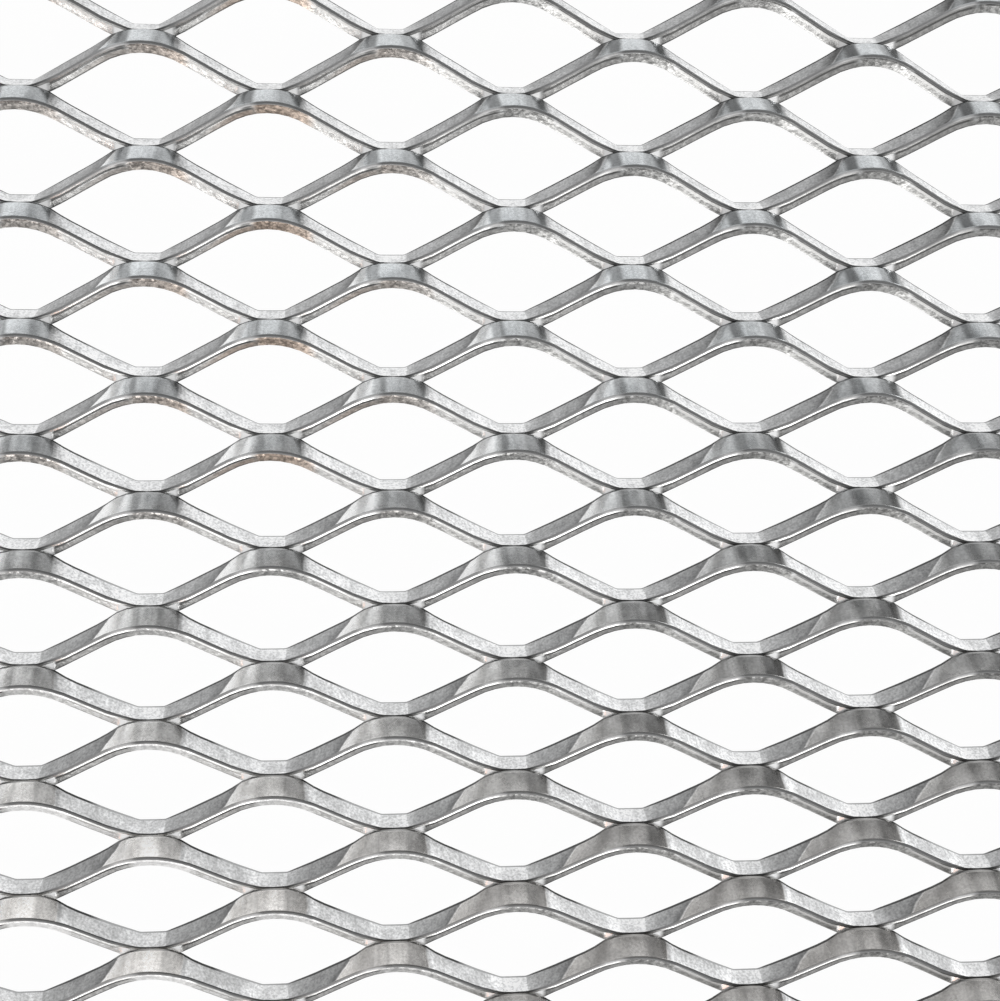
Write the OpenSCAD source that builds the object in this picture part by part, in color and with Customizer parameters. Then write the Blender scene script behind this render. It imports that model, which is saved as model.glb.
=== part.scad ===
// Raised expanded metal mesh: one sheet, slit and stretched into diamonds.
//
// Each stroke of the press feeds the sheet by one strand, pushes that strand down over blunt teeth
// and shifts by half a diamond before the next. A strand is therefore one outline in the plane of
// the stroke, swept along the feed. Neighbouring strands stay joined where a tooth's tip pressed
// them, and the finished sheet levels out with its strands standing at an angle.

/* [Sheet] */
// Width of the sheet, along the long way of its diamonds
sheet_w = 300; // [120:1:600]
// Longest that the sheet may be, along the short way of its diamonds: it ends on a whole strand
sheet_l = 300; // [120:1:600]
// Thickness of the metal
metal_t = 1.25; // [1:0.05:1.6]

/* [Diamond] */
// Long way of a diamond, from bond to bond
diamond_long = 28; // [25:0.5:36]
// Short way of a diamond, from bond to bond
diamond_short = 13.1; // [11.5:0.1:16]

/* [Strand] */
// Width of a strand
strand_w = 3.3; // [2.6:0.05:4.2]
// Length of the flat that a tooth's tip presses into a strand
tooth_flat = 3; // [2:0.1:4]
// Depth of a tooth's mark: how far the pressed strand lies below the strand that it is joined to
tooth_mark = 0.12; // [0.05:0.01:0.3]
// Radius of an arch, at the middle of the metal
arch_r = 8.6; // [7:0.1:10]
// How far two strands run into each other at a bond
bond_lap = 0.05; // [0.02:0.01:0.2]

/* [Hidden] */
NODES = ["lower_band", "lower_middle_band", "upper_middle_band", "upper_band"];

METAL = [0.78, 0.79, 0.8];
ARC_STEPS = 2; // flats along half an arch

// The sheet is fed by this much between strokes, and that sets the angle at which strands stand.
feed = strand_w - bond_lap;
step = diamond_short / 2;
strand_tilt = acos(feed / step);
rise = step * sin(strand_tilt);
half_long = diamond_long / 2;

// A strand's outline: x runs along the sheet and y along the stroke, with y = 0 at mid-metal of
// the row of bonds below. A leg runs from the edge of a tooth's mark to the arc of the arch.
arch_centre = [half_long, rise - arch_r];
tooth_edge = [tooth_flat / 2, metal_t / 2 - tooth_mark];
to_centre = arch_centre - tooth_edge;
outer_r = arch_r + metal_t / 2;
inner_r = arch_r - metal_t / 2;
leg_slope = atan2(to_centre.y, to_centre.x) + asin(outer_r / norm(to_centre));

// Under a tooth's mark the bend is one flat at half the leg's slope.
under_y = -metal_t / 2 - tooth_mark;
leg_foot = arch_centre + inner_r * [-sin(leg_slope), cos(leg_slope)];
under_corner = leg_foot.x - (leg_foot.y - under_y) / tan(leg_slope);
bend = metal_t * tan(leg_slope / 2);

function arc(centre, radius, from, to, steps) =
    [for (i = [0 : steps]) centre + radius * [cos(from + (to - from) * i / steps),
                                              sin(from + (to - from) * i / steps)]];

// Half a diamond of each side of the strand, from the tooth's mark to the top of the arch
top_half = concat([tooth_edge], arc(arch_centre, outer_r, 90 + leg_slope, 90, ARC_STEPS));
under_half = concat([[under_corner - bend, under_y],
                     [under_corner + bend * cos(leg_slope), under_y + bend * sin(leg_slope)]],
                    arc(arch_centre, inner_r, 90 + leg_slope, 90, ARC_STEPS));

function reversed(list) = [for (i = [len(list) - 1 : -1 : 0]) list[i]];

// One side of a strand over the teeth from first to last, from left to right
function side(half, first, last) =
    [for (tooth = [first : last])
        each concat([for (i = [len(half) - 2 : -1 : 0])
                         [tooth * diamond_long - half[i].x, half[i].y]],
                    [for (p = half) [tooth * diamond_long + p.x, p.y]])];

// Strands, from the sheet's near edge, with whole strands only
strand_below = feed * cos(strand_tilt) + (metal_t / 2 + tooth_mark) * sin(strand_tilt);
strand_above = (rise + metal_t / 2) * sin(strand_tilt);
lap_reach = bond_lap * cos(strand_tilt);
strand_count = 1 + floor((sheet_l - strand_below - strand_above - lap_reach) / step);
mesh_l = (strand_count - 1) * step + strand_below + strand_above + lap_reach;
first_y = strand_below + lap_reach - mesh_l / 2;
first_z = (metal_t / 2 + tooth_mark) * cos(strand_tilt);

// A strand as flat outline, with teeth under its middle or half a diamond to the side
module strand_outline(shifted) {
    teeth = ceil(sheet_w / 2 / diamond_long) + 1;
    height = rise + 2 * metal_t;
    intersection() {
        translate([shifted ? half_long : 0, 0])
            polygon(concat(side(top_half, -teeth, teeth),
                           reversed(side(under_half, -teeth, teeth))));
        translate([-sheet_w / 2, -metal_t])
            square([sheet_w, height]);
    }
}

module strand(index) {
    translate([0, first_y + index * step, first_z])
        rotate([90 - strand_tilt, 0, 0])
            linear_extrude(strand_w)
                strand_outline(index % 2 == 1);
}

// The sheet is drawn in as many bands as there are nodes, each with its share of the strands.
module band(index) {
    first = floor(index * strand_count / len(NODES));
    last = floor((index + 1) * strand_count / len(NODES)) - 1;
    color(METAL)
        for (i = [first : last])
            strand(i);
}

module lower_band() band(0);

module lower_middle_band() band(1);

module upper_middle_band() band(2);

module upper_band() band(3);

lower_band();
lower_middle_band();
upper_middle_band();
upper_band();
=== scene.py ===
"""Look of a raised expanded aluminium mesh sheet, laid over its solids.

A strand is modelled for one diamond, twisted between its bonds, and Geometry Nodes repeat it along
the strand and over the rows of a band. Each band replaces the node of the same name.
"""
import math

import bmesh
import bpy
from bpy.props import FloatProperty, FloatVectorProperty, IntProperty, PointerProperty
from mathutils import Matrix, Vector, noise


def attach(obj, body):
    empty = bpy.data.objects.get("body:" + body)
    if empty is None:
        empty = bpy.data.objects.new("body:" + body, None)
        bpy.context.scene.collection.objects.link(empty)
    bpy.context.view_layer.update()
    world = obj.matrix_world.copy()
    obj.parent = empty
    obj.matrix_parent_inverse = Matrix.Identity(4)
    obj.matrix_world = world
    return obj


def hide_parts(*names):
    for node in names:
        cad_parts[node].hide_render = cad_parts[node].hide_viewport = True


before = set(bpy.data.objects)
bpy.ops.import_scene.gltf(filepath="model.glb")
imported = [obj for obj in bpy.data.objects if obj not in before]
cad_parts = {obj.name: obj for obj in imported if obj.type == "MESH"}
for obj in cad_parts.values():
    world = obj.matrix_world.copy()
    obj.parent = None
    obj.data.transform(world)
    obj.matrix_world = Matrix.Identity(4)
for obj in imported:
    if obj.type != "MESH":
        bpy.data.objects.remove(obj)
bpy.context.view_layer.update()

bl_info = {
    "name": "Expanded Mesh Sheet",
    "version": (1, 0, 0),
    "blender": (4, 5, 0),
    "location": "View3D > Sidebar > Mesh Sheet",
    "description": "Dresses a sheet of raised expanded metal",
    "category": "Object",
}

MM = 0.001
BANDS = ("lower_band", "lower_middle_band", "upper_middle_band", "upper_band")

# Sizes of the solids, as in part.scad, in millimetres
SHEET_W = 300.0
SHEET_L = 300.0
METAL_T = 1.25
LONG_WAY = 28.0
SHORT_WAY = 13.1
STRAND_W = 3.3
BOND_LAP = 0.05
TOOTH_FLAT = 3.0
TOOTH_MARK = 0.12
ARCH_R = 8.6

ROW_STEP = SHORT_WAY / 2
HALF_LONG = LONG_WAY / 2
FEED = STRAND_W - BOND_LAP
TILT = math.acos(FEED / ROW_STEP)
RISE = ROW_STEP * math.sin(TILT)
BELOW = FEED * math.cos(TILT) + (METAL_T / 2 + TOOTH_MARK) * math.sin(TILT)
ABOVE = (RISE + METAL_T / 2) * math.sin(TILT)
LAP_REACH = BOND_LAP * math.cos(TILT)
STRANDS = 1 + math.floor((SHEET_L - BELOW - ABOVE - LAP_REACH) / ROW_STEP)
MESH_L = (STRANDS - 1) * ROW_STEP + BELOW + ABOVE + LAP_REACH
FIRST_Y = BELOW + LAP_REACH - MESH_L / 2
FIRST_Z = (METAL_T / 2 + TOOTH_MARK) * math.cos(TILT)

# Distances from the middle of the mark, in millimetres, over which a strand goes over from its
# mark to its leg, from its leg to its arch, and from level to the slope of its leg
MARK_TO_LEG, LEG_TO_ARCH, LEVEL_TO_SLOPE = (1.2, 5.0), (8.6, 11.6), (1.2, 1.9)
# A strand's section at the tooth's mark, in a leg and at the top of an arch, in millimetres
SHIFT_Y = (0.19, -0.09, 0.09)
SHIFT_Z = (-0.05, 0.07, -0.08)
REAR_FOLD = (0.3, 0.4, 0.3)
FRONT_ROLL = (0.05, 0.26, 0.26)
FRONT_LEAN = (0.0, 0.02, 0.1)
THICKNESS = (1.07, 1.14, 1.22)  # as shares of the sheet's
# An arch's rear rim is rolled over more, up to this far from its top: wider and deeper
ROLLED_RIM, ROLLED_WIDER, ROLLED_DEEPER = 3.0, 0.15, 0.18
RIM_DEPTH = 0.04
# A web of torn metal fills the corner beside a bond: where it grows and fades, and its reach
WEB_GROWS, WEB_FADES, WEB_REACH = (1.3, 2.2), (4.4, 2.6), 0.35
# Rounding of the bend beside a tooth's mark, at the rear rim, mid-face and the front edge
REAR_BEND, MID_BEND, FRONT_BEND = 0.1, 0.16, 0.3
# Cuts beside a corner of the mark, and how near to it no other cut comes
CORNER_CUTS, CORNER_CLEAR = (-0.2, 0.0, 0.3), 0.5
# Points around a section, those whose lengthwise edges stay soft, and those of the rolled face
RING_POINTS = 12
SOFT_POINTS = (1, 3, 5)
FACE_POINTS = (1, 2, 3, 4, 5)

# Enough diamonds for a row that is shifted by half of one and cut at both ends
DIAMONDS = 13
MERGE_WITHIN = 0.02 * MM
# The strands wander in long waves and, by a smaller share, in short ones
WANDER_SEED = 5
LONG_WAVE, SHORT_WAVE = 16 * MM, 3.5 * MM
SHORT_SHARE = 0.35
SHORT_OFFSET = Vector((7, 3, 5))


class MeshSheetSettings(bpy.types.PropertyGroup):
    """Sizes and colours of the mesh's look"""

    trough_w: FloatProperty(name="Trough Width", default=2.5,
                            description="Width of the face that a tooth presses, in mm")
    leg_w: FloatProperty(name="Leg Width", default=2.68,
                         description="Width of a strand between its bonds, in mm")
    arch_w: FloatProperty(name="Arch Width", default=3.35,
                          description="Width of a strand at the top of its arch, in mm")
    trough_tilt: FloatProperty(name="Trough Tilt", default=math.radians(60.4), subtype="ANGLE",
                               description="How steeply a pressed face stands")
    leg_tilt: FloatProperty(name="Leg Tilt", default=math.radians(52.8), subtype="ANGLE",
                            description="How steeply a leg's face stands")
    arch_tilt: FloatProperty(name="Arch Tilt", default=math.radians(49.2), subtype="ANGLE",
                             description="How steeply an arch's face stands")
    stations: IntProperty(name="Stations", default=12, min=8,
                          description="Cuts along half a diamond of a strand")
    wander: FloatProperty(name="Wander", default=0.06, min=0,
                          description="How far the strands wander from their rule, in mm")
    mill_colour: FloatVectorProperty(name="Mill Finish", subtype="COLOR", size=3, min=0, max=1,
                                     default=(0.5, 0.503, 0.506), description="Rolled surface")
    edge_colour: FloatVectorProperty(name="Sheared Edge", subtype="COLOR", size=3, min=0, max=1,
                                     default=(0.8, 0.795, 0.78), description="Fresh sheared metal")


def smooth(lo, hi, x):
    """Smooth step from 0 at lo to 1 at hi, also where lo is the larger"""
    t = min(max((x - lo) / (hi - lo), 0.0), 1.0)
    return t * t * (3 - 2 * t)


class Strand:
    """One strand's section at any distance from the middle of a tooth's mark"""

    def __init__(self, settings):
        self.s = settings
        self.outer = ARCH_R + METAL_T / 2
        self.mark_v = METAL_T / 2 - TOOTH_MARK
        self.centre_v = RISE + METAL_T / 2 - self.outer
        dx, dv = HALF_LONG - TOOTH_FLAT / 2, self.centre_v - self.mark_v
        self.slope = math.atan2(dv, dx) + math.asin(self.outer / math.hypot(dx, dv))
        self.arch_half = self.outer * math.sin(self.slope)

    def height(self, d, rounding):
        """Height of the top face along the stroke, with the bend at the mark rounded"""
        to_arch = HALF_LONG - d
        if to_arch > self.arch_half:
            return self.mark_v + math.tan(self.slope) * rounding * math.log1p(
                math.exp((d - TOOTH_FLAT / 2) / rounding))
        return self.centre_v + math.sqrt(self.outer ** 2 - to_arch ** 2)

    def local_slope(self, d):
        to_arch = HALF_LONG - d
        if to_arch < self.arch_half:
            return math.asin(to_arch / self.outer)
        return self.slope * smooth(*LEVEL_TO_SLOPE, d)

    def blend(self, d, trough, leg, arch):
        """Go over from a value at the mark to one in the leg and one at the arch"""
        a = smooth(*MARK_TO_LEG, d)
        b = smooth(*LEG_TO_ARCH, d)
        return (trough * (1 - a) + leg * a) * (1 - b) + arch * b

    def ring(self, x):
        """Points around the section at x, as (y, z) in millimetres"""
        s = self.s
        d = abs(x)
        tilt = self.blend(d, s.trough_tilt, s.leg_tilt, s.arch_tilt)
        width = self.blend(d, s.trough_w, s.leg_w, s.arch_w)
        along = Vector((-math.cos(tilt), math.sin(tilt)))
        normal = Vector((math.sin(tilt), math.cos(tilt)))
        stroke = Vector((math.sin(TILT), math.cos(TILT)))
        flat = Vector((-math.cos(TILT), math.sin(TILT)))
        mid_v = self.height(d, MID_BEND)
        middle = (Vector((0.0, FIRST_Z)) + stroke * mid_v + flat * (STRAND_W / 2)
                  + Vector((self.blend(d, *SHIFT_Y), self.blend(d, *SHIFT_Z))))
        rear_lift = stroke * (self.height(d, REAR_BEND) - mid_v)
        front_lift = stroke * (self.height(d, FRONT_BEND) - mid_v)
        thick = METAL_T * self.blend(d, *THICKNESS) / math.cos(self.local_slope(d))
        rolled = max(0.0, 1 - ((HALF_LONG - d) / ROLLED_RIM) ** 2)
        rear_w = self.blend(d, *REAR_FOLD) + ROLLED_WIDER * rolled
        rear_h = RIM_DEPTH + ROLLED_DEEPER * rolled
        roll = self.blend(d, *FRONT_ROLL)
        web = smooth(*WEB_GROWS, d) * smooth(*WEB_FADES, d)
        lean = self.blend(d, *FRONT_LEAN) - WEB_REACH * web
        # across the face from its rear rim, and down from it
        outline = (
            (0.0, rear_h), (rear_w * 0.45, rear_h * 0.35), (rear_w, 0.0),
            (width * 0.5, 0.0),
            (width - roll, 0.0), (width - roll * 0.35, roll * 0.2), (width - 0.03, roll * 0.8),
            (width + 0.04, thick * 0.34), (width - lean, thick - 0.06),
            (width - lean - 0.1, thick),
            (0.1, thick), (0.0, thick - 0.1),
        )
        points = []
        for f, depth in outline:
            share = f / width
            lift = rear_lift * (1 - share) + front_lift * share
            points.append(middle + lift + along * (f - width / 2) - normal * depth)
        return points


def strand_mesh(settings):
    """One diamond's length of a strand, from the top of one arch to the next"""
    strand = Strand(settings)
    n = settings.stations
    corner = TOOTH_FLAT / 2
    half = [HALF_LONG * (k / n) for k in range(n + 1)]
    half = sorted({round(d, 4) for d in half if abs(d - corner) > CORNER_CLEAR}
                  | {corner + cut for cut in CORNER_CUTS})
    xs = [-d for d in reversed(half) if d > 0] + half
    bm = bmesh.new()
    uv = bm.loops.layers.uv.new("UVMap")
    rings = [[bm.verts.new((x * MM, p.x * MM, p.y * MM)) for p in strand.ring(x)] for x in xs]
    for i in range(len(xs) - 1):
        for j in range(RING_POINTS):
            k = (j + 1) % RING_POINTS
            face = bm.faces.new((rings[i][j], rings[i][k], rings[i + 1][k], rings[i + 1][j]))
            face.smooth = True
            spots = ((xs[i], j), (xs[i], j + 1), (xs[i + 1], j + 1), (xs[i + 1], j))
            for loop, (x, step) in zip(face.loops, spots):
                loop[uv].uv = (x / LONG_WAY + 0.5, step / RING_POINTS)
    bmesh.ops.recalc_face_normals(bm, faces=bm.faces)
    mesh = bpy.data.meshes.new("strand")
    bm.to_mesh(mesh)
    bm.free()
    sharpen(mesh)
    return mesh


def sharpen(mesh):
    """Mark a strand's lengthwise edges and the folds of its face beside the mark as sharp"""
    attribute = mesh.attributes.new("sharp_edge", "BOOLEAN", "EDGE")
    for edge in mesh.edges:
        a, b = edge.vertices
        if (b - a) % RING_POINTS == 0:
            attribute.data[edge.index].value = a % RING_POINTS not in SOFT_POINTS
        elif a % RING_POINTS in FACE_POINTS and b % RING_POINTS in FACE_POINTS:
            x = abs(mesh.vertices[a].co.x)
            attribute.data[edge.index].value = abs(x - TOOTH_FLAT / 2 * MM) < 1e-5


# A Mix node's factor, inputs and output by the kind of value that it mixes
MIX_SOCKETS = {"FLOAT": (0, 2, 3, 0), "VECTOR": (0, 4, 5, 1), "RGBA": (0, 6, 7, 2)}
# Spacing of the nodes in an editor
COLUMN_W, ROW_H = 240, 280


class Graph:
    """A node tree under construction. A source is a socket to link or a value to set."""

    def __init__(self, tree):
        self.tree = tree

    def node(self, kind, sources=None, **settings):
        """Add a node, and feed the inputs that sources names or numbers"""
        node = self.tree.nodes.new(kind)
        for name, value in settings.items():
            setattr(node, name, value)
        for key, source in (sources or {}).items():
            self.feed(source, node.inputs[key])
        return node

    def feed(self, source, socket):
        if isinstance(source, bpy.types.NodeSocket):
            self.tree.links.new(source, socket)
        else:
            socket.default_value = source

    def maths(self, operation, *sources):
        return self.node("ShaderNodeMath", dict(enumerate(sources)), operation=operation).outputs[0]

    def times(self, a, b):
        return self.maths("MULTIPLY", a, b)

    def spread(self, source, low, high, out_low, out_high, kind="LINEAR"):
        """Map a range of a source onto another range"""
        limits = {"Value": source, "From Min": low, "From Max": high,
                  "To Min": out_low, "To Max": out_high}
        return self.node("ShaderNodeMapRange", limits, interpolation_type=kind).outputs["Result"]

    def over(self, place, from_mm, to_mm, out_low, out_high):
        """Go from one value to another over a stretch of the sheet"""
        return self.spread(place, from_mm * MM, to_mm * MM, out_low, out_high)

    def step(self, source, low, high, out_low=0, out_high=1):
        return self.spread(source, low, high, out_low, out_high, "SMOOTHSTEP")

    def belt(self, source, low, high, soft):
        """1 between low and high and 0 outside them, with soft borders"""
        return self.times(self.step(source, low - soft, low + soft),
                          self.step(source, high - soft, high + soft, 1, 0))

    def mix(self, kind, share, a, b, blend="MIX"):
        fac, first, second, out = MIX_SOCKETS[kind]
        return self.node("ShaderNodeMix", {fac: share, first: a, second: b},
                         data_type=kind, blend_type=blend).outputs[out]

    def value(self, share, a, b):
        return self.mix("FLOAT", share, a, b)

    def colour(self, share, a, b):
        return self.mix("RGBA", share, a, b)

    def shade(self, colour, by, share=1.0):
        """Multiply a colour by another or by a value"""
        return self.mix("RGBA", share, colour, by, "MULTIPLY")

    def tones(self, source, stops, colour=(1, 1, 1)):
        """Shares of a colour along a source, each stop a place and a share"""
        node = self.node("ShaderNodeValToRGB", {0: source})
        band = node.color_ramp.elements
        while len(band) < len(stops):
            band.new(0.5)
        for element, (place, share) in zip(band, stops):
            element.position = place
            element.color = tuple(min(c * share, 1.0) for c in colour) + (1.0,)
        return node.outputs[0]

    def noise(self, place, scale, detail, rough=0.5):
        return self.node("ShaderNodeTexNoise", {"Vector": place, "Scale": scale,
                                                "Detail": detail, "Roughness": rough}).outputs[0]

    def arrange(self):
        """Lay the nodes out in columns, each to the left of all that it feeds"""
        column = {node.name: 0 for node in self.tree.nodes}
        moved = True
        while moved:
            moved = False
            for link in self.tree.links:
                least = column[link.to_node.name] + 1
                if column[link.from_node.name] < least:
                    column[link.from_node.name] = least
                    moved = True
        filled = {}
        for node in self.tree.nodes:
            place = column[node.name]
            filled[place] = filled.get(place, 0) + 1
            node.location = (-COLUMN_W * place, -ROW_H * filled[place])


def mesh_tree():
    """Geometry Nodes: repeat a strand along its length, then over rows half a diamond apart"""
    tree = bpy.data.node_groups.new("Diamond Mesh", "GeometryNodeTree")
    for name, kind in (("Strand", "Geometry"), ("Diamonds", "Int"), ("Rows", "Int"),
                       ("First Row", "Int"), ("Long Way", "Float"), ("Row Step", "Float"),
                       ("First Y", "Float"), ("Finish", "Material")):
        tree.interface.new_socket(name, in_out="INPUT", socket_type="NodeSocket" + kind)
    tree.interface.new_socket("Mesh", in_out="OUTPUT", socket_type="NodeSocketGeometry")
    g = Graph(tree)
    given = g.node("NodeGroupInput").outputs

    # along the strand, about its middle
    gaps = g.maths("SUBTRACT", given["Diamonds"], 1)
    start = g.node("ShaderNodeCombineXYZ", {"X": g.times(g.times(gaps, given["Long Way"]), -0.5)})
    pitch = g.node("ShaderNodeCombineXYZ", {"X": given["Long Way"]})
    line = g.node("GeometryNodeMeshLine", {
        "Count": given["Diamonds"], "Start Location": start.outputs[0],
        "Offset": pitch.outputs[0]}, mode="OFFSET")
    diamonds = g.node("GeometryNodeInstanceOnPoints",
                      {"Points": line.outputs[0], "Instance": given["Strand"]})
    whole = g.node("GeometryNodeRealizeInstances", {0: diamonds.outputs[0]})
    joined = g.node("GeometryNodeMergeByDistance",
                    {"Geometry": whole.outputs[0], "Distance": MERGE_WITHIN})

    # over the rows, every other one shifted
    row = g.node("GeometryNodeInputIndex")
    number = g.maths("ADD", row.outputs[0], given["First Row"])
    odd = g.maths("FLOORED_MODULO", number, 2.0)
    place = g.node("ShaderNodeCombineXYZ", {
        "X": g.times(odd, g.times(given["Long Way"], 0.5)),
        "Y": g.maths("ADD", g.times(number, given["Row Step"]), given["First Y"])})
    rows = g.node("GeometryNodeMeshLine", {"Count": given["Rows"]}, mode="OFFSET")
    spots = g.node("GeometryNodeSetPosition",
                   {"Geometry": rows.outputs[0], "Position": place.outputs[0]})
    band = g.node("GeometryNodeInstanceOnPoints",
                  {"Points": spots.outputs[0], "Instance": joined.outputs[0]})
    solid = g.node("GeometryNodeRealizeInstances", {0: band.outputs[0]})
    finish = g.node("GeometryNodeSetMaterial",
                    {"Geometry": solid.outputs[0], "Material": given["Finish"]})
    g.node("NodeGroupOutput", {0: finish.outputs[0]})
    g.arrange()
    return tree


def cut_ends(bm):
    """Shear the strands off flat at both sides of the sheet"""
    for side in (-1, 1):
        cut = bmesh.ops.bisect_plane(bm, geom=bm.verts[:] + bm.edges[:] + bm.faces[:],
                                     dist=1e-7, plane_co=(side * SHEET_W / 2 * MM, 0, 0),
                                     plane_no=(side, 0, 0), clear_outer=True)
        rim = [e for e in cut["geom_cut"] if isinstance(e, bmesh.types.BMEdge)]
        bmesh.ops.holes_fill(bm, edges=rim, sides=0)


def band_object(name, first, rows, unit, tree, material, settings):
    """A band of strands as a plain mesh, with the slight irregularity of pressed metal"""
    base = bpy.data.objects.new(name, unit.copy())
    bpy.context.scene.collection.objects.link(base)
    modifier = base.modifiers.new("Diamond Mesh", "NODES")
    modifier.node_group = tree
    values = {"Diamonds": DIAMONDS, "Rows": rows, "First Row": first, "Long Way": LONG_WAY * MM,
              "Row Step": ROW_STEP * MM, "First Y": FIRST_Y * MM, "Finish": material}
    for item in tree.interface.items_tree:
        if item.item_type == "SOCKET" and item.in_out == "INPUT" and item.name in values:
            modifier[item.identifier] = values[item.name]
    graph = bpy.context.evaluated_depsgraph_get()
    mesh = bpy.data.meshes.new_from_object(base.evaluated_get(graph),
                                           preserve_all_data_layers=True, depsgraph=graph)
    base.modifiers.clear()
    bm = bmesh.new()
    bm.from_mesh(mesh)
    for vert in bm.verts:
        coarse = noise.noise_vector(vert.co / LONG_WAVE)
        fine = noise.noise_vector(vert.co / SHORT_WAVE + SHORT_OFFSET)
        vert.co += (coarse + fine * SHORT_SHARE) * settings.wander * MM
    cut_ends(bm)
    bm.to_mesh(mesh)
    bm.free()
    mesh.name = name
    base.data = mesh
    return base


# Zones around a strand, as shares of the way round from its rear rim: start, end and softness
RIM_END = (0.13, 0.15)
SHOULDER = (0.345, 0.41, 0.01)
FOLD = (0.41, 0.53, 0.01)
EDGE = (0.53, 0.75, 0.006)
BURNISH = (0.53, 0.572, 0.006)
BURR = (0.572, 0.606, 0.006)
TORN = (0.606, 0.75, 0.006)
BROW = (0.53, 0.58, 0.008)
LIP = (0.655, 0.75, 0.004)
FILLET = (0.572, 0.75, 0.006)
# Zones along a strand: 0 and 1 are the tops of its arches and 0.5 is the tooth's mark. TO ends a
# zone that starts at 0, and FROM starts one. A painted reflection's border is slanted.
FALLING = (0.17, 0.38, 0.03)
RISING_FROM, RISING_TO = (0.56, 0.62), (0.93, 0.95)
ARCH_TO, ARCH_FROM = (0.125, 0.137), (0.6, 0.62)
REFLECTION_BORDER = (0.845, 0.862)
TORN_TO, TORN_FROM = (0.15, 0.2), (0.92, 0.965)
ARCH_START = (0.925, 0.975, 0.012)
BESIDE_BOND = (0.06, 0.122, 0.012)  # from the middle of the mark
# Painted light over the front left corner of the camera's view, in metres: it fades to the right
# and the rear, and ends outside the view
CORNER_RIGHT, CORNER_REAR, CORNER_OUTSIDE = (-0.05, 0.01), (-0.038, 0.004), (-0.085, -0.062)


def zone_group():
    """Where a point lies along its strand, and masks of the zones around it, from the UV map"""
    g = Graph(bpy.data.node_groups.new("Strand Zones", "ShaderNodeTree"))
    uv = g.node("ShaderNodeUVMap", uv_map="UVMap")
    split = g.node("ShaderNodeSeparateXYZ", {0: uv.outputs[0]}).outputs
    spot = g.node("ShaderNodeTexCoord").outputs["Object"]
    place = g.node("ShaderNodeSeparateXYZ", {0: spot}).outputs
    across, deep, around = place["X"], place["Y"], split["Y"]
    wave = g.noise(spot, 400, 0)
    along = g.maths("ADD", split["X"], g.times(g.maths("SUBTRACT", wave, 0.5), 0.02))

    corner = g.times(g.step(across, *CORNER_RIGHT, 1, 0), g.step(deep, *CORNER_REAR, 1, 0))
    corner = g.times(corner, g.times(g.step(across, *CORNER_OUTSIDE),
                                     g.step(deep, *CORNER_OUTSIDE)))

    # a painted reflection leaves a slanted border on the rising side, further down it towards the
    # sheet's front, but in the corner it stays near the arch; there the arch's zone begins
    slant = g.times(g.maths("SUBTRACT", around, 0.33), 0.365)
    further = g.maths("ADD", g.over(deep, -45, 40, 0.157, 0.014), g.times(corner, -0.12))
    reflection_line = g.maths("ADD", along, g.maths("ADD", slant, further))
    rising = g.times(g.step(along, *RISING_FROM), g.step(along, *RISING_TO, 1, 0))
    arch = g.maths("MAXIMUM", g.step(along, *ARCH_TO, 1, 0),
                   g.times(g.step(reflection_line, *REFLECTION_BORDER), g.step(along, *ARCH_FROM)))

    # torn metal covers the whole edge of an arch
    on_arch = g.maths("MAXIMUM", g.step(along, *TORN_TO, 1, 0), g.step(along, *TORN_FROM))
    off_arch = g.maths("SUBTRACT", 1.0, on_arch)
    ragged = g.times(on_arch, g.belt(around, *EDGE))
    from_mark = g.maths("ABSOLUTE", g.maths("SUBTRACT", split["X"], 0.5))
    # the painted shade where an arch begins lies further out towards the rear
    sooner = g.maths("ADD", along, g.step(deep, 0.006, 0.036, 0, 0.03))

    masks = {
        "Along": along, "Reflection Line": reflection_line, "Rising": rising, "Arch": arch, "Lit Corner": corner,
        "Falling": g.belt(along, *FALLING),
        "Arch Start": g.belt(sooner, *ARCH_START),
        "Rear Rim": g.step(around, *RIM_END, 1, 0),
        "Shoulder": g.belt(around, *SHOULDER),
        "Fold": g.belt(around, *FOLD),
        "Burnish": g.times(off_arch, g.belt(around, *BURNISH)),
        "Burr": g.times(off_arch, g.belt(around, *BURR)),
        "Lip": g.times(off_arch, g.belt(around, *LIP)),
        "Brow": g.times(on_arch, g.belt(around, *BROW)),
        "Ragged": ragged,
        "Fracture": g.maths("MAXIMUM", g.belt(around, *TORN), ragged),
        # painted highlight on the torn edges of the arches in the lit corner
        "Corner Highlight": g.times(g.times(corner, 0.6), ragged),
        "Fillet": g.times(g.belt(from_mark, *BESIDE_BOND), g.belt(around, *FILLET)),
        "Side": g.step(split["X"], 0.49, 0.51, -1, 1),
    }
    for name in masks:
        g.tree.interface.new_socket(name, in_out="OUTPUT", socket_type="NodeSocketFloat")
    g.node("NodeGroupOutput", masks)
    g.arrange()
    return g.tree


# Painted light and shade of each zone along a strand, as shares of its colour: 0 and 1 are the
# tops of the arches, 0.5 is the tooth's mark, and the strand falls to the mark and rises from it
FACE_TONES = ((0.0, 1.7), (0.035, 1.56), (0.055, 0.96), (0.1, 1.04), (0.14, 1.28), (0.15, 1.85),
              (0.44, 1.85), (0.445, 1.9), (0.555, 1.9), (0.557, 1.3), (0.62, 1.05), (0.93, 2.0),
              (0.96, 1.7), (1.0, 1.7))
RIM_TONES = ((0.0, 0.7), (0.04, 0.6), (0.1, 0.4), (0.13, 0.1), (0.25, 0.12), (0.3, 0.85),
             (0.44, 0.85), (0.5, 0.8), (0.56, 0.6), (0.58, 0.2), (0.85, 0.18), (0.87, 0.6),
             (0.92, 0.3), (1.0, 0.7))
SHOULDER_TONES = ((0.0, 0.6), (0.06, 0.4), (0.13, 0.35), (0.15, 0.1), (0.36, 0.1), (0.4, 0.2),
                  (0.45, 0.6), (0.55, 0.7), (0.6, 0.65), (0.84, 0.7), (0.87, 1.2), (0.93, 1.0),
                  (0.97, 0.6), (1.0, 0.6))
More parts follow.
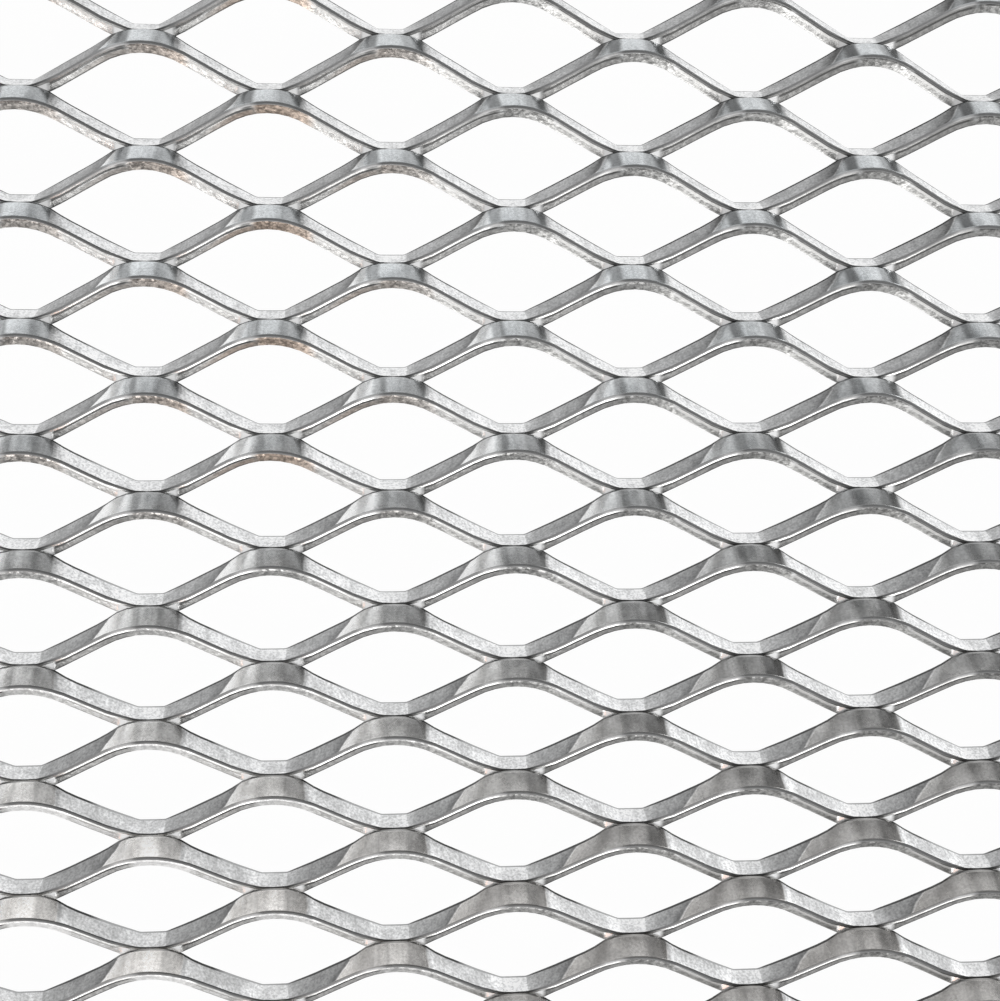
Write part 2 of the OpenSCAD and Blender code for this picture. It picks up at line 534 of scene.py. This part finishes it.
FOLD_TONES = ((0.0, 0.4), (0.04, 0.4), (0.09, 0.4), (0.13, 0.3), (0.18, 0.36), (0.4, 0.36),
              (0.48, 0.35), (0.52, 0.4), (0.6, 0.5), (0.66, 0.7), (0.84, 0.7), (0.88, 1.2),
              (0.93, 1.0), (0.96, 0.4), (1.0, 0.4))
POLISH_TONES = ((0.0, 0.17), (0.1, 0.24), (0.16, 0.42), (0.34, 0.46), (0.42, 0.9), (0.5, 0.9),
                (0.58, 1.2), (0.925, 1.2), (0.95, 0.3), (1.0, 0.17))
BURR_TONES = ((0.0, 0.36), (0.1, 0.5), (0.16, 0.65), (0.34, 0.75), (0.41, 1.2), (0.59, 1.2),
              (0.62, 0.16), (0.85, 0.12), (0.92, 0.12), (1.0, 0.36))
LIP_TONES = ((0.0, 0.4), (0.2, 0.7), (0.4, 0.8), (0.56, 0.8), (0.62, 0.15), (0.9, 0.1), (1.0, 0.4))
TORN_TONES = ((0.0, 0.42), (0.05, 0.5), (0.1, 0.6), (0.16, 0.8), (0.34, 0.85), (0.4, 1.2),
              (0.6, 1.2), (0.63, 0.45), (0.75, 0.4), (0.86, 0.34), (1.0, 0.42))
# The face on the rising side, with a painted reflection that darkens up to its border at 0.85 and
# brightens past it
RISING_TONES = ((0.0, 1.05), (0.62, 1.05), (0.72, 1.0), (0.8, 0.85), (0.845, 0.55), (0.853, 2.4),
                (0.868, 1.95), (0.93, 1.7), (1.0, 1.6))
# Painted light and shade on the arches over the depth of the camera's view, from its front to its
# rear
DEPTH_TONES = ((0.0, 0.63), (0.12, 0.63), (0.33, 0.56), (0.5, 0.62), (0.6, 0.72), (0.72, 0.92),
               (0.9, 0.8))
DEPTH_MM = (-60, 60)

WHITE = (1, 1, 1, 1)
WARM_REFLECTION = (1, 0.972, 0.94, 1)
COOL_REFLECTION = (0.955, 0.985, 1, 1)
COPPER_REFLECTION = (1, 0.82, 0.7, 1)
BROW_SHADE = (0.45, 0.45, 0.45, 1)
BUMP_DEPTH = 0.00012


def metal(settings):
    """Mill aluminium: satin rolled faces, burnished arches and sheared edges, with light and shade
    painted into their colours
    """
    material = bpy.data.materials.new("Mill Aluminium")
    material.use_nodes = True
    g = Graph(material.node_tree)
    shader = g.tree.nodes["Principled BSDF"].inputs
    mask = g.node("ShaderNodeGroup", node_tree=zone_group()).outputs
    spot = g.node("ShaderNodeTexCoord").outputs["Object"]
    place = g.node("ShaderNodeSeparateXYZ", {0: spot}).outputs
    across, deep = place["X"], place["Y"]
    speckle = g.noise(spot, 3200, 3, 0.6)
    patches = g.noise(spot, 450, 2)
    pits = g.noise(spot, 1700, 3, 0.65)
    sparks = g.noise(spot, 2000, 2)
    drawn = g.node("ShaderNodeMapping", {"Vector": spot, "Scale": (2600, 150, 150)})
    streaks = g.noise(drawn.outputs[0], 1, 2)
    corner = mask["Lit Corner"]
    mill, sheared = settings.mill_colour, settings.edge_colour

    def tones(stops, colour, way="Along"):
        return g.tones(mask[way], stops, colour)

    def weathered(colour, source, low, high, dark, light):
        """Make a colour darker and lighter by a noise"""
        return g.shade(colour, g.spread(source, low, high, dark, light))

    def levels():
        """Painted light and shade on the faces over the sheet"""
        # towards the rear, painted shade darkens a patch where an arch begins
        arch_start_shade = g.value(mask["Arch Start"], 1.0, g.over(deep, -20, 35, 0.8, 0.34))
        # painted light and shade: the tops of the arches are brightest near the rear, and darker at
        # the front right
        tops = g.shade(g.tones(g.over(deep, *DEPTH_MM, 0, 1), DEPTH_TONES),
                       g.over(across, 0, 30, 1, g.over(deep, 0, 30, 0.78, 1)))
        # painted shade: their rising flanks are darker at the front and, behind it, towards the
        # right
        flanks = g.over(deep, -35, 5, 0.6, g.over(across, 0, 30, 1.3, 0.6))
        flanks = g.value(g.over(deep, 35, 50, 0, 0.4), flanks, 0.0)
        # painted shade: the falling legs are darker at the front
        legs = g.value(mask["Falling"], 1.0, g.over(deep, -50, -5, 0.74, 1))
        level = g.colour(mask["Arch"], legs, g.colour(mask["Rising"], tops, flanks))
        # painted light: in the front left corner the arches are much brighter and the legs a little
        # darker
        brighter = g.value(corner, 1.0, g.value(mask["Arch"], 0.85, 1.9))
        return g.shade(g.shade(level, arch_start_shade), brighter)

    def face_colour():
        faces = g.colour(mask["Rising"], tones(FACE_TONES, mill),
                         tones(RISING_TONES, mill, "Reflection Line"))
        faces = g.shade(faces, levels())
        faces = weathered(faces, speckle, 0.35, 0.65, g.value(mask["Arch"], 0.72, 0.88), 1.2)
        faces = weathered(faces, streaks, 0.5, 0.75, 1.0, 0.86)
        faces = weathered(faces, patches, 0.35, 0.65, g.value(mask["Arch"], 0.85, 0.93), 1.1)
        # painted shade: a dark line along the rear rim, darker still towards the rear
        rim = g.shade(tones(RIM_TONES, mill), g.over(deep, 18, 32, 1, 0.2))
        faces = g.colour(mask["Rear Rim"], faces, rim)
        # painted light and shade along the shoulder
        faces = g.colour(mask["Shoulder"], faces, tones(SHOULDER_TONES, mill))
        # painted reflection: the arches have a cool tint at the sheet's rear and a warm one at its
        # front
        reflected_tint = g.colour(g.over(deep, -45, 30, 0, 1), WARM_REFLECTION, COOL_REFLECTION)
        faces = g.shade(faces, reflected_tint, mask["Arch"])
        # painted light and shade along the fold, mostly a dark line
        return g.colour(mask["Fold"], faces, tones(FOLD_TONES, mill))

    def polish_colour(edge_shade):
        # the burnished band, with painted light and shade along the strand and over the sheet
        polish = weathered(tones(POLISH_TONES, sheared), patches, 0.35, 0.6, 0.72, 1.1)
        # painted shade: it fades out where an arch begins, most towards the left, but not in the
        # corner
        ending = g.value(mask["Arch Start"], 1.0, g.over(across, -10, 40, 0.28, 0.9))
        return g.shade(g.shade(polish, edge_shade), g.value(corner, ending, 1.0))

    def torn_colour(edge_shade):
        grain = g.value(mask["Ragged"], 0.78, 0.5)
        torn = weathered(tones(TORN_TONES, sheared), pits, 0.4, 0.6, grain, 1.2)
        # painted shade over the sheet on the falling side
        torn = g.shade(torn, edge_shade, mask["Falling"])
        # painted shade just under the fold of an arch's edge
        torn = g.shade(torn, BROW_SHADE, mask["Brow"])
        # painted light: torn metal is brighter in the front left corner
        torn = g.shade(torn, g.value(corner, 1.0, 1.6))
        # painted shade along the lower lip of the edge, darkest on the rising side
        torn = g.colour(mask["Lip"], torn, tones(LIP_TONES, sheared))
        # painted glints on the edges of the arches, fainter towards the right and the rear
        glints = g.spread(sparks, 0.54, 0.62, 0, g.over(across, -50, 35, 0.65, 0.2))
        glints = g.value(mask["Ragged"], 0.0, glints)
        glints = g.value(g.over(deep, 10, 45, 0, 0.6), glints, 0.0)
        return g.colour(glints, torn, (*sheared, 1))

    def copper_reflection_share():
        """A painted copper reflection on the edges of the arches at the rear left"""
        flank = g.value(g.spread(mask["Reflection Line"], 0.86, 0.98, 0, 0.9), 0.0, mask["Fracture"])
        share = g.value(mask["Rising"], mask["Ragged"], flank)
        for fade in (g.over(across, -46, -30, 0.3, 1), g.over(across, -26, -6, 1, 0),
                     g.over(deep, -2, 8, 0, 1), g.over(deep, 62, 90, 1, 0)):
            share = g.times(share, fade)
        return share

    def roughness():
        rough = g.value(mask["Arch"], g.spread(speckle, 0.3, 0.7, 0.42, 0.55),
                        g.spread(patches, 0.3, 0.7, 0.23, 0.3))
        for zone, value in (("Burnish", 0.3), ("Fold", 0.6), ("Fracture", 0.38), ("Fillet", 0.3)):
            rough = g.value(mask[zone], rough, value)
        return rough

    def normal():
        height = g.value(mask["Fracture"], g.value(mask["Arch"], speckle, patches), pits)
        bump = g.node("ShaderNodeBump", {
            "Distance": BUMP_DEPTH, "Strength": g.value(mask["Fracture"], 0.15, 0.7),
            "Height": height})
        # the torn metal in the corner beside a bond is a bright fillet that faces up
        facing = g.node("ShaderNodeCombineXYZ", {
            "X": g.times(mask["Side"], 0.5), "Y": -0.2, "Z": 1.0})
        world = g.node("ShaderNodeVectorTransform", {0: facing.outputs[0]}, vector_type="NORMAL",
                       convert_from="OBJECT", convert_to="WORLD")
        return g.mix("VECTOR", mask["Fillet"], bump.outputs[0], world.outputs[0])

    # painted shade: edges are darker towards the right on the falling side, and that sooner towards
    # the rear, and darker towards the rear on the rising one
    right_end = g.over(deep, -20, 30, 30 * MM, 5 * MM)
    falling_edge_shade = g.spread(across, -50 * MM, right_end, 1.08, 0.55)
    edge_shade = g.value(mask["Rising"], falling_edge_shade, g.over(deep, 20, 50, 1.0, 0.3))
    # the sheared edge's burnished, burr and torn bands, with painted light and shade along them
    colour = g.colour(mask["Burnish"], face_colour(), polish_colour(edge_shade))
    colour = g.colour(mask["Burr"], colour, tones(BURR_TONES, sheared))
    colour = g.colour(mask["Fracture"], colour, torn_colour(edge_shade))
    # painted copper reflection
    colour = g.shade(colour, COPPER_REFLECTION, copper_reflection_share())
    # painted highlight: torn edges in the front left corner turn white
    colour = g.colour(mask["Corner Highlight"], colour, WHITE)
    # painted highlight: the fillet beside a bond is white
    g.feed(g.colour(mask["Fillet"], colour, WHITE), shader["Base Color"])
    flank = g.times(mask["Arch"], mask["Rising"])
    g.feed(g.value(mask["Corner Highlight"], g.value(flank, 1.0, 0.6), 0.0), shader["Metallic"])
    g.feed(roughness(), shader["Roughness"])
    g.feed(normal(), shader["Normal"])
    g.arrange()
    return material


FLOOR_HALF = 3.0
FLOOR_PAINT = (0.9, 0.9, 0.9, 1)
FLOOR_GLOW = 0.97


def floor_material():
    """White paint, with a glow that the camera and mirror-like metal see in its place"""
    material = bpy.data.materials.new("Studio Floor")
    material.use_nodes = True
    g = Graph(material.node_tree)
    g.tree.nodes.remove(g.tree.nodes["Principled BSDF"])
    paint = g.node("ShaderNodeBsdfDiffuse", {"Color": FLOOR_PAINT})
    glow = g.node("ShaderNodeEmission")
    path = g.node("ShaderNodeLightPath").outputs
    seen = g.maths("MAXIMUM", path["Is Camera Ray"], path["Is Glossy Ray"])
    seen = g.maths("MAXIMUM", seen, path["Is Transmission Ray"])
    both = g.node("ShaderNodeMixShader", {"Fac": g.times(seen, FLOOR_GLOW),
                                          1: paint.outputs[0], 2: glow.outputs[0]})
    g.feed(both.outputs[0], g.tree.nodes["Material Output"].inputs["Surface"])
    g.arrange()
    return material


# Brightness of the surroundings by the sine of the height above the horizon
SKY_TONES = ((0.0, 1.0), (0.2, 1.0), (0.45, 0.85), (0.7, 0.6), (0.85, 0.4), (1.0, 0.36))


def surroundings():
    """A studio that is white at the horizon and darker overhead"""
    world = bpy.data.worlds.new("Studio")
    world.use_nodes = True
    g = Graph(world.node_tree)
    coords = g.node("ShaderNodeTexCoord")
    split = g.node("ShaderNodeSeparateXYZ", {0: coords.outputs["Generated"]})
    g.feed(g.tones(split.outputs["Z"], SKY_TONES), g.tree.nodes["Background"].inputs["Color"])
    g.arrange()
    return world


# Name, place, size, power and colour of each lamp. All face the middle of the sheet.
LAMPS = (("Key", (0.85, 0.5, 0.26), (0.5, 0.35), 3.5, (1, 1, 1)),
         ("Front", (0.0, -0.95, 0.68), (0.6, 0.65), 4.5, (1, 1, 1)),
         ("Warm Card", (-0.5, -0.72, 0.66), (0.2, 0.15), 0.25, (1, 0.45, 0.25)))


def area_light(name, place, size, power, colour):
    light = bpy.data.lights.new(name, "AREA")
    light.shape = "RECTANGLE"
    light.size, light.size_y = size
    light.energy = power
    light.color = colour
    lamp = bpy.data.objects.new(name, light)
    lamp.location = place
    lamp.rotation_euler = Vector(place).to_track_quat("Z", "Y").to_euler()
    bpy.context.scene.collection.objects.link(lamp)


# The photograph's camera, fitted to the sheet's own edges in it. Its place is measured from the
# mark of the strand NODE_ROW, the highest mark in the middle column of the picture.
PICTURE_PX = 1000
FOCAL_PX = 1639.8
CAMERA_MM = (-18.88, -43.99, 193.16)
TURN_DEG = (1.168, 5.19, 0.274)
NODE_ROW = 30
SENSOR_MM = 36
HALF_PIXEL = 0.5 / PICTURE_PX


def camera():
    data = bpy.data.cameras.new("Camera")
    data.sensor_fit = "HORIZONTAL"
    data.sensor_width = SENSOR_MM
    data.lens = FOCAL_PX * SENSOR_MM / PICTURE_PX
    data.clip_start = 0.01
    data.shift_x = HALF_PIXEL
    data.shift_y = -HALF_PIXEL
    item = bpy.data.objects.new("Camera", data)
    turn = Vector([math.radians(a) for a in TURN_DEG])
    facing = Matrix.Rotation(turn.length, 3, turn.normalized()).transposed()
    place = Vector(CAMERA_MM) + Vector((0, FIRST_Y + NODE_ROW * ROW_STEP, 0))
    item.matrix_world = Matrix.Translation(place * MM) @ facing.to_4x4()
    bpy.context.scene.collection.objects.link(item)
    bpy.context.scene.camera = item


class MESHSHEET_OT_sheet(bpy.types.Operator):
    """Build the bands of strands and put each in place of its solid"""

    bl_idname = "meshsheet.sheet"
    bl_label = "Mesh Sheet"

    def execute(self, context):
        settings = context.scene.mesh_sheet
        noise.seed_set(WANDER_SEED)
        unit = strand_mesh(settings)
        tree = mesh_tree()
        material = metal(settings)
        for i, name in enumerate(BANDS):
            first = i * STRANDS // len(BANDS)
            rows = (i + 1) * STRANDS // len(BANDS) - first
            piece = band_object("mesh_" + name, first, rows, unit, tree, material, settings)
            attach(piece, "root")
            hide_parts(name)
        return {"FINISHED"}


class MESHSHEET_OT_stage(bpy.types.Operator):
    """Set the floor, the lights, the surroundings and the camera"""

    bl_idname = "meshsheet.stage"
    bl_label = "Stage"

    def execute(self, context):
        mesh = bpy.data.meshes.new("floor")
        corners = [(x * FLOOR_HALF, y * FLOOR_HALF, 0)
                   for x, y in ((-1, -1), (1, -1), (1, 1), (-1, 1))]
        mesh.from_pydata(corners, [], [(0, 1, 2, 3)])
        mesh.materials.append(floor_material())
        floor = bpy.data.objects.new("floor", mesh)
        context.scene.collection.objects.link(floor)
        for lamp in LAMPS:
            area_light(*lamp)
        context.scene.world = surroundings()
        context.scene.view_settings.view_transform = "Standard"
        camera()
        return {"FINISHED"}


class MESHSHEET_PT_panel(bpy.types.Panel):
    """Settings and steps of the mesh sheet"""

    bl_label = "Mesh Sheet"
    bl_idname = "MESHSHEET_PT_panel"
    bl_space_type = "VIEW_3D"
    bl_region_type = "UI"
    bl_category = "Mesh Sheet"

    def draw(self, context):
        layout = self.layout
        settings = context.scene.mesh_sheet
        for name in MeshSheetSettings.__annotations__:
            layout.prop(settings, name)
        for operator in OPERATORS:
            layout.operator(operator.bl_idname)


OPERATORS = (MESHSHEET_OT_sheet, MESHSHEET_OT_stage)
CLASSES = (MeshSheetSettings,) + OPERATORS + (MESHSHEET_PT_panel,)


def register():
    for cls in CLASSES:
        bpy.utils.register_class(cls)
    bpy.types.Scene.mesh_sheet = PointerProperty(type=MeshSheetSettings)


def unregister():
    del bpy.types.Scene.mesh_sheet
    for cls in reversed(CLASSES):
        bpy.utils.unregister_class(cls)


def main():
    register()
    bpy.ops.meshsheet.sheet()
    bpy.ops.meshsheet.stage()


if __name__ == "__main__":
    main()
